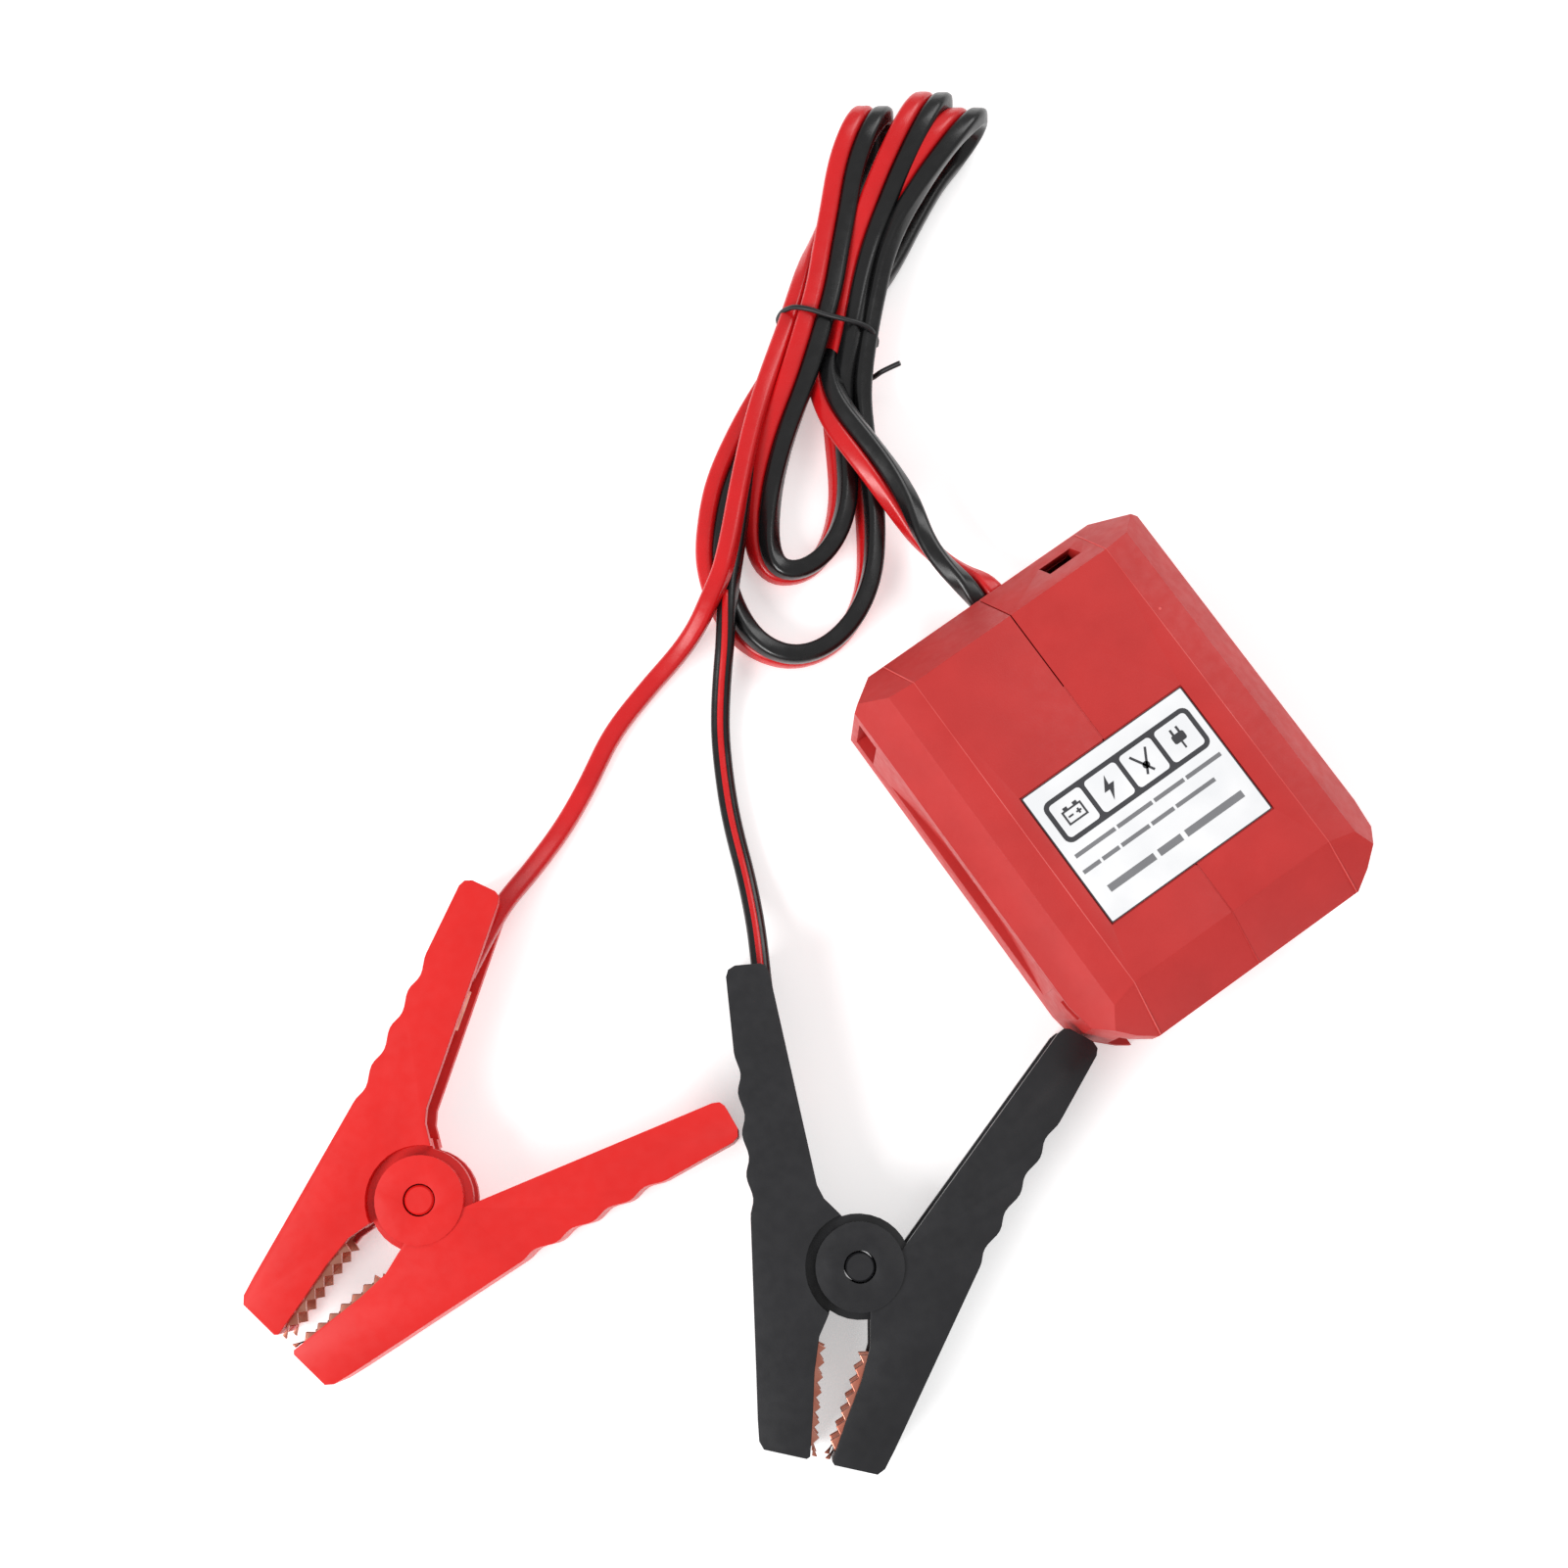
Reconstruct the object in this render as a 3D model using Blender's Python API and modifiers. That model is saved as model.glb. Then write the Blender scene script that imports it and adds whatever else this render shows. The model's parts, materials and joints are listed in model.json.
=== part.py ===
"""Jump starter pack: a battery-adapter housing, a folded twin cable and two insulated clamps.

Blender 4.5, metres, +Z up. Every dimension below is in millimetres and is scaled by MM where it is used.
The origin is at the bottom centre of the box round the housing and the clamps, on the surface they lie on.
"""

import math

import bmesh
import bpy
from mathutils import Vector

MM = 0.001
GAP = 0.3  # clearance between touching pieces

# Layout on the surface
HOUSING_AT = (87.350, 11.979)
PIVOTS = {"red": (-170.6, 12.9), "black": (-103.4, -51.5)}  # from the housing's centre
CLAMP_ANGLES = {"red": 12.0, "black": 42.7}  # jaws-to-handles direction, degrees from +X

# Housing
HALF_WIDTH = 37.5
HALF_LENGTH = 48.8
HEIGHT = 37.8
TOP_HALF_WIDTH = 25.0
SOFT_CREASE = (31.0, 36.8)
EDGE_HEIGHT = 28.6
TOP_FRONT = 39.7
TOP_BACK = -36.8
FRONT_EDGE_HEIGHT = 22.0
BACK_EDGE_HEIGHT = 29.4
ROOF = 2.6
WALL = 3.0
CAVITY_HALF_WIDTH = 31.5
CAVITY_TOP = 20.6
DECK = 2.2
CAVITY_FRONT = 34.0
LIP_HALF_WIDTH = 27.5
LIP_HEIGHT = 3.0
FLOOR = 2.6
BAY_BACK = 36.2
BLADE_X = 10.0
CABLE_X = 4.2
CABLE_Z = 12.0
STRAIN_Y = 42.8
STRAIN_SPREAD = 8.6
SCREW_PLACES = [(y, 26.0) for y in (-29.0, 30.0)]
SHELL_SCREW_HEAD = 2.0
POST_RADIUS = 3.7
COUNTERBORE_RADIUS = 2.6
SCREW_SEAT = 8.0  # the heads' distance from the seam
LABEL_SIZE = (41.2, 31.5)
LABEL_AT = (-0.8, -8.8)
LABEL_THICKNESS = 0.35

# Clamps, in the clamp's own frame: +X from the jaws to the handles, +Y to the fixed grip
CLAMP_THICKNESS = 17.0
COVER = 2.6
DISC_RADIUS = 9.3
DISC_PROUD = 0.6
DISC_CLEARANCE = 2.1
EAR_RADIUS = 10.9
PIN_RADIUS = 3.1
EAR_LOW = (3.1, 5.5)
EAR_HIGH = (11.5, 13.9)
RIPPLES = 4
RIPPLE_DEPTH = 1.1
RIPPLE_STEPS = 8  # straight pieces in one wave
TOOTH_PITCH = 3.0
TOOTH_HEIGHT = 1.5
TOOTH_LINE = 0.8  # the teeth's distance from the middle plane at the tip
TEETH = 7
SPRING_RADIUS = 5.4
SPRING_WIRE = 1.2
SPRING_TURNS = 2

# Cable
CORE = 4.0
CORE_SPACING = 4.3

TAIL_ROUTE = [  # x, y, z of the twin's middle, and its turn: 0 with black at -X, 90 with black on top
    (4.2, 49.4, 12.0, 0),
    (4.2, 51.4, 12.0, 0),
    (3.5, 54.0, 12.0, 18),
    (2.3, 57.8, 11.4, 42),
    (1.3, 62.8, 10.8, 65),
    (0.9, 69.9, 10.6, 95),
    (1.7, 77.5, 11.0, 130),
    (2.0, 85.8, 11.5, 155),
    (1.9, 89.6, 11.7, 162),
]
RED_LEAD_ROUTE = [
    (-48.8, 83.9, 9.9),
    (-53.5, 81.7, 7.6),
    (-60.0, 79.9, 4.8),
    (-68.6, 78.2, 2.7),
    (-80.6, 74.3, 2.3),
    (-91.3, 68.3, 2.3),
    (-101.4, 63.3, 2.9),
    (-112.2, 59.0, 5.6),
    (-121.2, 56.0, 8.0),
    (-129.5, 51.9, 8.5),
    (-137.4, 47.5, 8.5),
]
BLACK_LEAD_ROUTE = [
    (-49.1, 75.4, 7.5),
    (-54.6, 68.8, 5.0),
    (-60.6, 60.8, 2.8),
    (-66.6, 50.2, 2.3),
    (-70.6, 41.6, 2.3),
    (-74.9, 30.4, 2.9),
    (-79.4, 20.4, 5.8),
    (-84.0, 11.9, 8.3),
    (-88.9, 3.0, 8.5),
    (-93.0, -5.0, 8.5),
]
HANK_OUTLINE = [
    (45, 162), (57, 163), (69, 156), (75, 146), (68, 137), (50, 132), (36, 126), (26.5, 119.5),
    (19.6, 113.2), (15, 105), (10, 96.5), (4, 93.4), (-2.8, 91.5), (-5, 84), (-9, 72), (-19, 62),
    (-31, 58), (-41, 62), (-46, 72), (-46.5, 84), (-43, 97), (-33, 106), (-18, 116), (-5, 123),
    (5.2, 129.8), (13, 136.5), (22, 144), (33, 154),
]
HANK_HEIGHT = 14.0
TIE_AT = (12.5, 121.5)
TIE_ANGLE = 40.0  # the hank's direction there, degrees from +X
TIE_HALF_WIDTH = 12.2
TIE_WIRE = 1.2

COLOURS = {  # linear colour, roughness, metallic
    "housing_red": ((0.55, 0.03, 0.026), 0.5, 0.0),
    "clamp_red": ((0.8, 0.035, 0.035), 0.4, 0.0),
    "clamp_black": ((0.025, 0.025, 0.028), 0.5, 0.0),
    "cable_red": ((0.7, 0.02, 0.025), 0.35, 0.0),
    "cable_black": ((0.02, 0.02, 0.022), 0.35, 0.0),
    "copper": ((0.75, 0.36, 0.24), 0.3, 1.0),
    "steel": ((0.6, 0.6, 0.6), 0.35, 1.0),
    "brass": ((0.75, 0.55, 0.25), 0.35, 1.0),
    "label": ((0.75, 0.75, 0.75), 0.35, 0.0),
    "black_plastic": ((0.03, 0.03, 0.03), 0.5, 0.0),
}


def clear_scene():
    for obj in list(bpy.data.objects):
        bpy.data.objects.remove(obj)


def new_collection(name, hidden=False):
    collection = bpy.data.collections.new(name)
    bpy.context.scene.collection.children.link(collection)
    collection.hide_render = hidden
    return collection


def make_material(name):
    colour, roughness, metallic = COLOURS[name]
    material = bpy.data.materials.new(name)
    material.use_nodes = True
    shader = material.node_tree.nodes["Principled BSDF"]
    shader.inputs["Base Color"].default_value = (*colour, 1.0)
    shader.inputs["Roughness"].default_value = roughness
    shader.inputs["Metallic"].default_value = metallic
    return material


clear_scene()
PARTS = new_collection("jump_starter_pack")
CUTTERS = new_collection("cutters", hidden=True)
MATERIALS = {name: make_material(name) for name in COLOURS}


def new_frame(name, at, angle=0.0):
    """An empty that holds the pieces of one assembly."""
    empty = bpy.data.objects.new(name, None)
    PARTS.objects.link(empty)
    empty.location = (at[0] * MM, at[1] * MM, 0)
    empty.rotation_euler = (0, 0, math.radians(angle))
    return empty


def add_object(name, data, frame, material=None):
    """A part when it has a material, and otherwise a cutter."""
    obj = bpy.data.objects.new(name, data)
    if material:
        PARTS.objects.link(obj)
        data.materials.append(MATERIALS[material])
    else:
        CUTTERS.objects.link(obj)
        obj.hide_render = True
        obj.display_type = "WIRE"
    obj.parent = frame
    return obj


def mesh_of(build, name):
    mesh = bpy.data.meshes.new(name)
    bm = bmesh.new()
    build(bm)
    bmesh.ops.recalc_face_normals(bm, faces=bm.faces)
    bm.to_mesh(mesh)
    bm.free()
    return mesh


def box(name, low, high, frame, material=None):
    size = [(b - a) * MM for a, b in zip(low, high)]
    middle = [(a + b) / 2 * MM for a, b in zip(low, high)]

    def build(bm):
        bmesh.ops.create_cube(bm, size=1)
        bmesh.ops.scale(bm, vec=size, verts=bm.verts)
        bmesh.ops.translate(bm, vec=middle, verts=bm.verts)

    return add_object(name, mesh_of(build, name), frame, material)


def prism(name, outline, low, high, frame, material=None, across="Z"):
    """A flat outline of (a, b) points, extruded from low to high along Z, X or Y."""
    curve = bpy.data.curves.new(name, "CURVE")
    curve.dimensions = "2D"
    curve.fill_mode = "BOTH"
    curve.extrude = (high - low) / 2 * MM
    spline = curve.splines.new("POLY")
    spline.points.add(len(outline) - 1)
    for point, (a, b) in zip(spline.points, outline):
        point.co = (a * MM, b * MM, 0, 1)
    spline.use_cyclic_u = True
    holder = bpy.data.objects.new(name, curve)
    bpy.context.scene.collection.objects.link(holder)
    evaluated = holder.evaluated_get(bpy.context.evaluated_depsgraph_get())
    mesh = bpy.data.meshes.new_from_object(evaluated)
    bpy.data.objects.remove(holder)
    bpy.data.curves.remove(curve)
    bm = bmesh.new()
    bm.from_mesh(mesh)
    bmesh.ops.remove_doubles(bm, verts=bm.verts, dist=0.00001)
    bmesh.ops.translate(bm, vec=(0, 0, (low + high) / 2 * MM), verts=bm.verts)
    for vert in bm.verts:
        a, b, c = vert.co
        vert.co = {"Z": (a, b, c), "X": (c, a, b), "Y": (a, c, b)}[across]
    bm.normal_update()
    bmesh.ops.recalc_face_normals(bm, faces=bm.faces)
    bm.to_mesh(mesh)
    bm.free()
    mesh.materials.clear()
    return add_object(name, mesh, frame, material)


def cylinder(name, radius, start, end, frame, material=None, sides=32):
    """A cylinder between two points on a line along an axis of the frame."""
    start, end = Vector(start) * MM, Vector(end) * MM
    along = end - start

    def build(bm):
        bmesh.ops.create_cone(
            bm, cap_ends=True, segments=sides, radius1=radius * MM, radius2=radius * MM, depth=along.length
        )
        bmesh.ops.rotate(bm, matrix=along.to_track_quat("Z", "Y").to_matrix(), verts=bm.verts)
        bmesh.ops.translate(bm, vec=(start + end) / 2, verts=bm.verts)

    return add_object(name, mesh_of(build, name), frame, material)


def turned(name, profile, frame, material, sides=24):
    """A body turned round its own Z from (radius, height) points, top to bottom, with Screw."""

    def build(bm):
        verts = [bm.verts.new((radius * MM, 0, height * MM)) for radius, height in profile]
        for first, second in zip(verts, verts[1:]):
            bm.edges.new((first, second))

    obj = add_object(name, mesh_of(build, name), frame, material)
    screw = obj.modifiers.new("turn", "SCREW")
    screw.steps = sides
    screw.render_steps = sides
    screw.use_merge_vertices = True
    screw.merge_threshold = 0.00001
    return obj


def boolean(obj, other, operation="DIFFERENCE"):
    modifier = obj.modifiers.new(other.name, "BOOLEAN")
    modifier.operation = operation
    modifier.object = other
    modifier.solver = "EXACT"


def cut_all(obj, cutters):
    for cutter in cutters:
        boolean(obj, cutter)


def smooth_curve(points, steps):
    """Points on a Catmull-Rom curve through the given ones, with any number of values each."""
    ends = [[2 * a - b for a, b in zip(points[0], points[1])]]
    tail = [[2 * a - b for a, b in zip(points[-1], points[-2])]]
    knots = ends + [list(point) for point in points] + tail
    result = []
    for i in range(1, len(knots) - 2):
        for step in range(steps):
            result.append(between(knots[i - 1 : i + 3], step / steps))
    return result + [list(points[-1])]


def between(four, t):
    weights = (
        -t / 2 + t * t - t**3 / 2,
        1 - 2.5 * t * t + 1.5 * t**3,
        t / 2 + 2 * t * t - 1.5 * t**3,
        -t * t / 2 + t**3 / 2,
    )
    return [sum(w * value for w, value in zip(weights, values)) for values in zip(*four)]


def smooth_loop(points, steps):
    """Points on a closed Catmull-Rom curve."""
    count = len(points)
    result = []
    for i in range(count):
        four = [points[(i + k) % count] for k in (-1, 0, 1, 2)]
        result += [between(four, step / steps) for step in range(steps)]
    return result


def tube(name, points, diameter, frame, material, resolution=2):
    curve = bpy.data.curves.new(name, "CURVE")
    curve.dimensions = "3D"
    curve.bevel_depth = diameter / 2 * MM
    curve.bevel_resolution = resolution
    curve.use_fill_caps = True
    spline = curve.splines.new("POLY")
    spline.points.add(len(points) - 1)
    for point, place in zip(spline.points, points):
        point.co = (*(value * MM for value in place[:3]), 1)
    return add_object(name, curve, frame, material)


# Housing


def housing_solid(name, frame, material, inset=0.0, bottom=0.0):
    """The housing's outer form, or with an inset the form inside its walls: three crossed extrusions."""
    plan = [(29.5, 48.8), (37.5, 43.0), (37.5, -33.0), (36.5, -39.5), (30.0, -46.0), (26.0, -48.8)]
    plan = [(x - inset, y - math.copysign(inset, y)) for x, y in plan]
    plan += [(-x, y) for x, y in reversed(plan)]
    drop = inset * ROOF / WALL
    section = [
        (HALF_WIDTH - inset, -5),
        (HALF_WIDTH - inset, EDGE_HEIGHT - drop),
        (SOFT_CREASE[0] - inset / 2, SOFT_CREASE[1] - drop),
        (TOP_HALF_WIDTH - inset / 2, HEIGHT - drop),
    ]
    section += [(-x, z) for x, z in reversed(section)]
    side = [
        (HALF_LENGTH - inset, -5),
        (HALF_LENGTH - inset, FRONT_EDGE_HEIGHT - drop / 2),
        (TOP_FRONT - inset, HEIGHT - drop),
        (TOP_BACK + inset, HEIGHT - drop),
        (-HALF_LENGTH + inset, BACK_EDGE_HEIGHT - drop),
        (-HALF_LENGTH + inset, -5),
    ]
    solid = prism(name, plan, bottom, HEIGHT, frame, material)
    boolean(solid, prism(name + "_section", section, -60, 60, frame, across="Y"), "INTERSECT")
    boolean(solid, prism(name + "_side", side, -50, 50, frame, across="X"), "INTERSECT")
    return solid


def housing_hollows(frame):
    """The electronics chamber over the deck, the cable bay in front, and the battery cavity below."""
    chamber = housing_solid("chamber", frame, None, inset=WALL, bottom=CAVITY_TOP + DECK)
    bay_half = HALF_WIDTH - WALL
    bay_low, bay_high = (-bay_half + 6, BAY_BACK, FLOOR), (bay_half - 6, 45.8, CAVITY_TOP + DECK + 0.1)
    bay = box("cable_bay", bay_low, bay_high, frame)
    cavity = box(
        "battery_cavity",
        (-CAVITY_HALF_WIDTH, -60, LIP_HEIGHT),
        (CAVITY_HALF_WIDTH, CAVITY_FRONT, CAVITY_TOP),
        frame,
    )
    mouth_low, mouth_high = (-LIP_HALF_WIDTH, -60, -5), (LIP_HALF_WIDTH, CAVITY_FRONT, LIP_HEIGHT + 1)
    mouth = box("cavity_mouth", mouth_low, mouth_high, frame)
    return [chamber, bay, cavity, mouth]


def housing_details(frame):
    """The cutters for what shows outside: grip recesses, latch notches, top slot and cable hole."""
    cutters = []
    scoop_radius, scoop_depth = 183.0, 2.2
    for side, label in ((1, "right"), (-1, "left")):
        middle = side * (HALF_WIDTH - scoop_depth + scoop_radius)
        cutters.append(
            cylinder(
                f"grip_recess_{label}", scoop_radius, (middle, 0, 8.5), (middle, 0, 24.0), frame, sides=256
            )
        )
        for kind, low, high in (
            ("latch_notch", (HALF_WIDTH - 3.6, 34.8, 6.0), (HALF_WIDTH + 5, 41.0, 24.0)),
            ("edge_notch", (HALF_WIDTH - 1.6, -36.4, 23.4), (HALF_WIDTH + 5, -31.4, 27.6)),
        ):
            xs = sorted((side * low[0], side * high[0]))
            cutters.append(box(f"{kind}_{label}", (xs[0], *low[1:]), (xs[1], *high[1:]), frame))
    cutters.append(box("top_slot", (13.6, 43.0, 20.0), (21.8, 46.0, 45.0), frame))
    cutters.append(slot_prism("cable_hole", 6.0, 4.0, 45.0, 55.0, frame))
    cutters.append(
        box(
            "label_pocket",
            (LABEL_AT[0] - LABEL_SIZE[0] / 2 - GAP, LABEL_AT[1] - LABEL_SIZE[1] / 2 - GAP, HEIGHT - 0.5),
            (LABEL_AT[0] + LABEL_SIZE[0] / 2 + GAP, LABEL_AT[1] + LABEL_SIZE[1] / 2 + GAP, HEIGHT + 5),
            frame,
        )
    )
    return cutters


def slot_prism(name, half_width, half_height, start, end, frame, material=None):
    """A stadium-shaped bar along Y round the cable's place in the wall."""
    straight = half_width - half_height
    outline = []
    for centre, first in ((straight, -90), (-straight, 90)):
        for step in range(9):
            angle = math.radians(first + step * 22.5)
            outline.append(
                (CABLE_X + centre + half_height * math.cos(angle), CABLE_Z + half_height * math.sin(angle))
            )
    return prism(name, outline, start, end, frame, material, across="Y")


def terminal_block(frame):
    low, high = (-15.0, 26.5, 6.5), (15.0, BAY_BACK - 0.6, CAVITY_TOP - GAP)
    block = box("terminal_block", low, high, frame, "black_plastic")
    for sign, name in ((-1, "negative"), (1, "positive")):
        slot = box(
            f"blade_slot_{name}",
            (sign * BLADE_X - 0.7, 20, 11.2),
            (sign * BLADE_X + 0.7, 50, 18.8),
            frame,
        )
        boolean(block, slot)
        blade = box(
            f"terminal_blade_{name}",
            (sign * BLADE_X - 0.4, 13.5, 11.5),
            (sign * BLADE_X + 0.4, 40.0, 18.5),
            frame,
            "brass",
        )
        bevel = blade.modifiers.new("edges", "BEVEL")
        bevel.width = 0.25 * MM
        bevel.segments = 1
    return block


def block_window(frame):
    """The partition's opening round the terminal block."""
    return box("block_window", (-15.3, 30, 6.2), (15.3, 40, CAVITY_TOP), frame)


def screw(name, head_at, tip, frame, head_radius, shank_radius, head):
    """A pan-head screw along one axis, from its head's top to its tip."""
    start, end = Vector(head_at), Vector(tip)
    length = (end - start).length
    profile = [
        (0, 0),
        (head_radius * 0.75, 0),
        (head_radius, -head * 0.35),
        (head_radius, -head),
        (shank_radius, -head),
        (shank_radius, -length + 1.5),
        (0, -length),
    ]
    obj = turned(name, profile, frame, "steel", sides=20)
    obj.location = start * MM
    obj.rotation_euler = (start - end).to_track_quat("Z", "Y").to_euler()
    return obj


def screw_bosses(frame):
    """Solid posts across the chamber for the shell screws, and what is bored out of them."""
    posts, bores = [], []
    for index, (y, z) in enumerate(SCREW_PLACES):
        reach = HALF_WIDTH - 1.2
        seat = SCREW_SEAT - SHELL_SCREW_HEAD - 0.6
        name = f"post_{index}"
        posts.append(cylinder(name, POST_RADIUS, (-reach, y, z), (reach, y, z), frame, sides=24))
        name = f"pilot_{index}"
        bores.append(cylinder(name, 1.7, (-18, y, z), (SCREW_SEAT, y, z), frame, sides=16))
        name = f"counterbore_{index}"
        bores.append(cylinder(name, COUNTERBORE_RADIUS, (seat, y, z), (50, y, z), frame, sides=20))
    return posts, bores


def strain_places():
    return (("left", CABLE_X - STRAIN_SPREAD), ("right", CABLE_X + STRAIN_SPREAD))


def strain_posts(frame):
    return [
        cylinder(f"strain_post_{side}", 2.2, (x, STRAIN_Y, 1.0), (x, STRAIN_Y, 13.6), frame, sides=20)
        for side, x in strain_places()
    ]


def strain_relief(frame):
    reach = STRAIN_SPREAD + 2.8
    low, high = (CABLE_X - reach, STRAIN_Y - 1.9, 14.3), (CABLE_X + reach, STRAIN_Y + 1.8, 16.6)
    bar = box("strain_relief_bar", low, high, frame, "black_plastic")
    for side, x in strain_places():
        hole = cylinder(f"bar_hole_{side}", 1.5, (x, STRAIN_Y, 10), (x, STRAIN_Y, 20), frame, sides=16)
        boolean(bar, hole)
        screw(f"strain_screw_{side}", (x, STRAIN_Y, 18.7), (x, STRAIN_Y, 6.0), frame, 2.4, 1.2, 1.8)


def strain_bores(frame):
    return [
        cylinder(f"strain_bore_{side}", 1.5, (x, STRAIN_Y, 5), (x, STRAIN_Y, 20), frame, sides=16)
        for side, x in strain_places()
    ]


def cable_bushing(frame):
    """A flanged sleeve in the end wall that the twin cable runs through."""
    bushing = slot_prism("cable_bushing", 5.7, 3.7, 44.9, HALF_LENGTH + 0.2, frame, "black_plastic")
    boolean(bushing, slot_prism("bushing_bore", 4.8, 2.4, 40, 60, frame))
    return bushing


def inner_wires(frame):
    """The two cores' stripped length, from the bushing under the bar to the blades."""
    for name, material, sign, blade in (
        ("inner_black_wire", "cable_black", -1, -BLADE_X),
        ("inner_red_wire", "cable_red", 1, BLADE_X),
    ):
        x = CABLE_X + sign * CORE_SPACING / 2
        end_x = blade + (2.75 if blade < x else -2.75)
        route = [(x, y, CABLE_Z) for y in (49.0, 46.0, 41.5)]
        route += [(x + sign * 0.4, 38.6, 12.6), (end_x, 38.4, 15)]
        tube(name, smooth_curve(route, 4), CORE, frame, material)


def label(frame):
    half_x, half_y = LABEL_SIZE[0] / 2, LABEL_SIZE[1] / 2
    top = HEIGHT + 0.15
    return box(
        "label",
        (LABEL_AT[0] - half_x, LABEL_AT[1] - half_y, top - LABEL_THICKNESS),
        (LABEL_AT[0] + half_x, LABEL_AT[1] + half_y, top),
        frame,
        "label",
    )


def make_housing(frame):
    hollows = housing_hollows(frame)
    details = housing_details(frame)
    posts, bores = screw_bosses(frame)
    posts += strain_posts(frame)
    cutters = details + bores + strain_bores(frame) + [block_window(frame)]
    for side, low, high in (("left", -GAP / 2, 60), ("right", -60, GAP / 2)):
        shell = housing_solid(f"housing_{side}_shell", frame, "housing_red")
        cut_all(shell, hollows)
        for post in posts:
            boolean(shell, post, "UNION")
        cut_all(shell, cutters)
        boolean(shell, box(f"{side}_half_space", (low, -90, -20), (high, 90, 90), frame))
    for index, (y, z) in enumerate(SCREW_PLACES):
        head_at, tip = (SCREW_SEAT - GAP, y, z), (-16, y, z)
        screw(f"shell_screw_{index + 1}", head_at, tip, frame, 2.3, 1.4, SHELL_SCREW_HEAD)
    terminal_block(frame)
    strain_relief(frame)
    cable_bushing(frame)
    inner_wires(frame)
    label(frame)


# Clamps


def arc(radius, first, last, steps):
    return [
        (radius * math.cos(math.radians(a)), radius * math.sin(math.radians(a)))
        for a in (first + (last - first) * step / steps for step in range(steps + 1))
    ]


def ripples(start, end, inset=0.0):
    """The finger grips: a row of shallow waves from one point to another."""
    steps = RIPPLES * RIPPLE_STEPS
    points = []
    for step in range(steps + 1):
        t = step / steps
        dip = RIPPLE_DEPTH * (1 - math.cos(2 * math.pi * RIPPLES * t)) / 2
        u = start[0] + (end[0] - start[0]) * t
        v = start[1] + (end[1] - start[1]) * t - dip * 0.9 - inset
        points.append((u, v))
    return points


def grip_outline(side):
    """Half a clamp seen from above, with its ear; side is 1 for the fixed grip, -1 for the moving one."""
    points = [(-40.0, 2.9), (-39.4, 2.3), (-31, 3.5), (-22.7, 4.9), (-15.5, 5.4), (-11.8, 4.6)]
    if side > 0:
        points += arc(EAR_RADIUS, 157, 391, 22)
        points += [(10.6, 7.6), (12.2, 10.2), (14.6, 12.2)]
    else:
        points += arc(DISC_RADIUS, 155, 417, 22)
    points += [(56.2, 31.3), (57.4, 32.3), (57.6, 33.6), (56.0, 38.8), (54.8, 40.0), (53.2, 40.1)]
    points += ripples((38.0, 35.1), (5.0, 24.35))
    points += [(-24.8, 16.8), (-34.4, 14.4), (-38.6, 13.2), (-40.0, 11.9)]
    return [(u, side * v) for u, v in points[:: int(side)]]


def pocket_outline(side):
    """What the cover is hollow between, open along its inner edge."""
    points = [(-37.9, -14), (62, -14), (62, 36.2), (53.6, 36.2), (52.2, 36.0)]
    points += [(45.5, 33.6), (12.0, 22.6)]
    points += [(7.0, 21.4), (-24.8, 13.6), (-37.9, 10.3)]
    return [(u, side * v) for u, v in points[:: int(side)]]


def make_grip(colour, side, frame):
    """One plastic half: a channel with two ears. The fixed grip's ears lie between the moving grip's."""
    kind = "fixed" if side > 0 else "moving"
    name = f"{colour}_{kind}_grip"
    grip = prism(name, grip_outline(side), 0, CLAMP_THICKNESS, frame, f"clamp_{colour}")
    bevel = grip.modifiers.new("rounding", "BEVEL")
    bevel.width = 0.9 * MM
    bevel.segments = 1
    bevel.limit_method = "ANGLE"
    bevel.angle_limit = math.radians(60)
    ear_zone = cylinder(f"{name}_ear_zone", 13.0, (0, 0, -5), (0, 0, 30), frame, sides=36)
    pocket = prism(f"{name}_pocket", pocket_outline(side), COVER, CLAMP_THICKNESS - COVER, frame)
    if side > 0:
        boolean(pocket, ear_zone)
        boolean(grip, pocket)
        low, high = EAR_LOW, EAR_HIGH
        room = DISC_RADIUS + DISC_CLEARANCE
        boolean(grip, cylinder(f"{name}_between", 13.3, (0, 0, low[1]), (0, 0, high[0]), frame, sides=36))
        boolean(grip, cylinder(f"{name}_under", room, (0, 0, -5), (0, 0, low[0]), frame, sides=36))
        boolean(grip, cylinder(f"{name}_over", room, (0, 0, high[1]), (0, 0, 30), frame, sides=36))
    else:
        top = CLAMP_THICKNESS + DISC_PROUD
        boss = cylinder(f"{name}_boss", DISC_RADIUS, (0, 0, 15), (0, 0, top), frame, sides=36)
        boolean(grip, boss, "UNION")
        boolean(grip, pocket)
    boolean(grip, cylinder(f"{name}_pin_hole", PIN_RADIUS + GAP, (0, 0, -5), (0, 0, 30), frame))
    return grip


def jaw_edge():
    """The zig-zag line of the teeth, from the tip to the jaw's back."""
    points = [(-39.4, TOOTH_LINE)]
    for tooth in range(TEETH):
        u = -38.6 + tooth * TOOTH_PITCH
        base = TOOTH_LINE + 2.7 * (tooth / TEETH) ** 0.8
        points += [(u + TOOTH_PITCH / 2, base + TOOTH_HEIGHT), (u + TOOTH_PITCH, base + 0.35)]
    return points + [(-16.9, 6.2), (-14.4, 6.6)]


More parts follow.
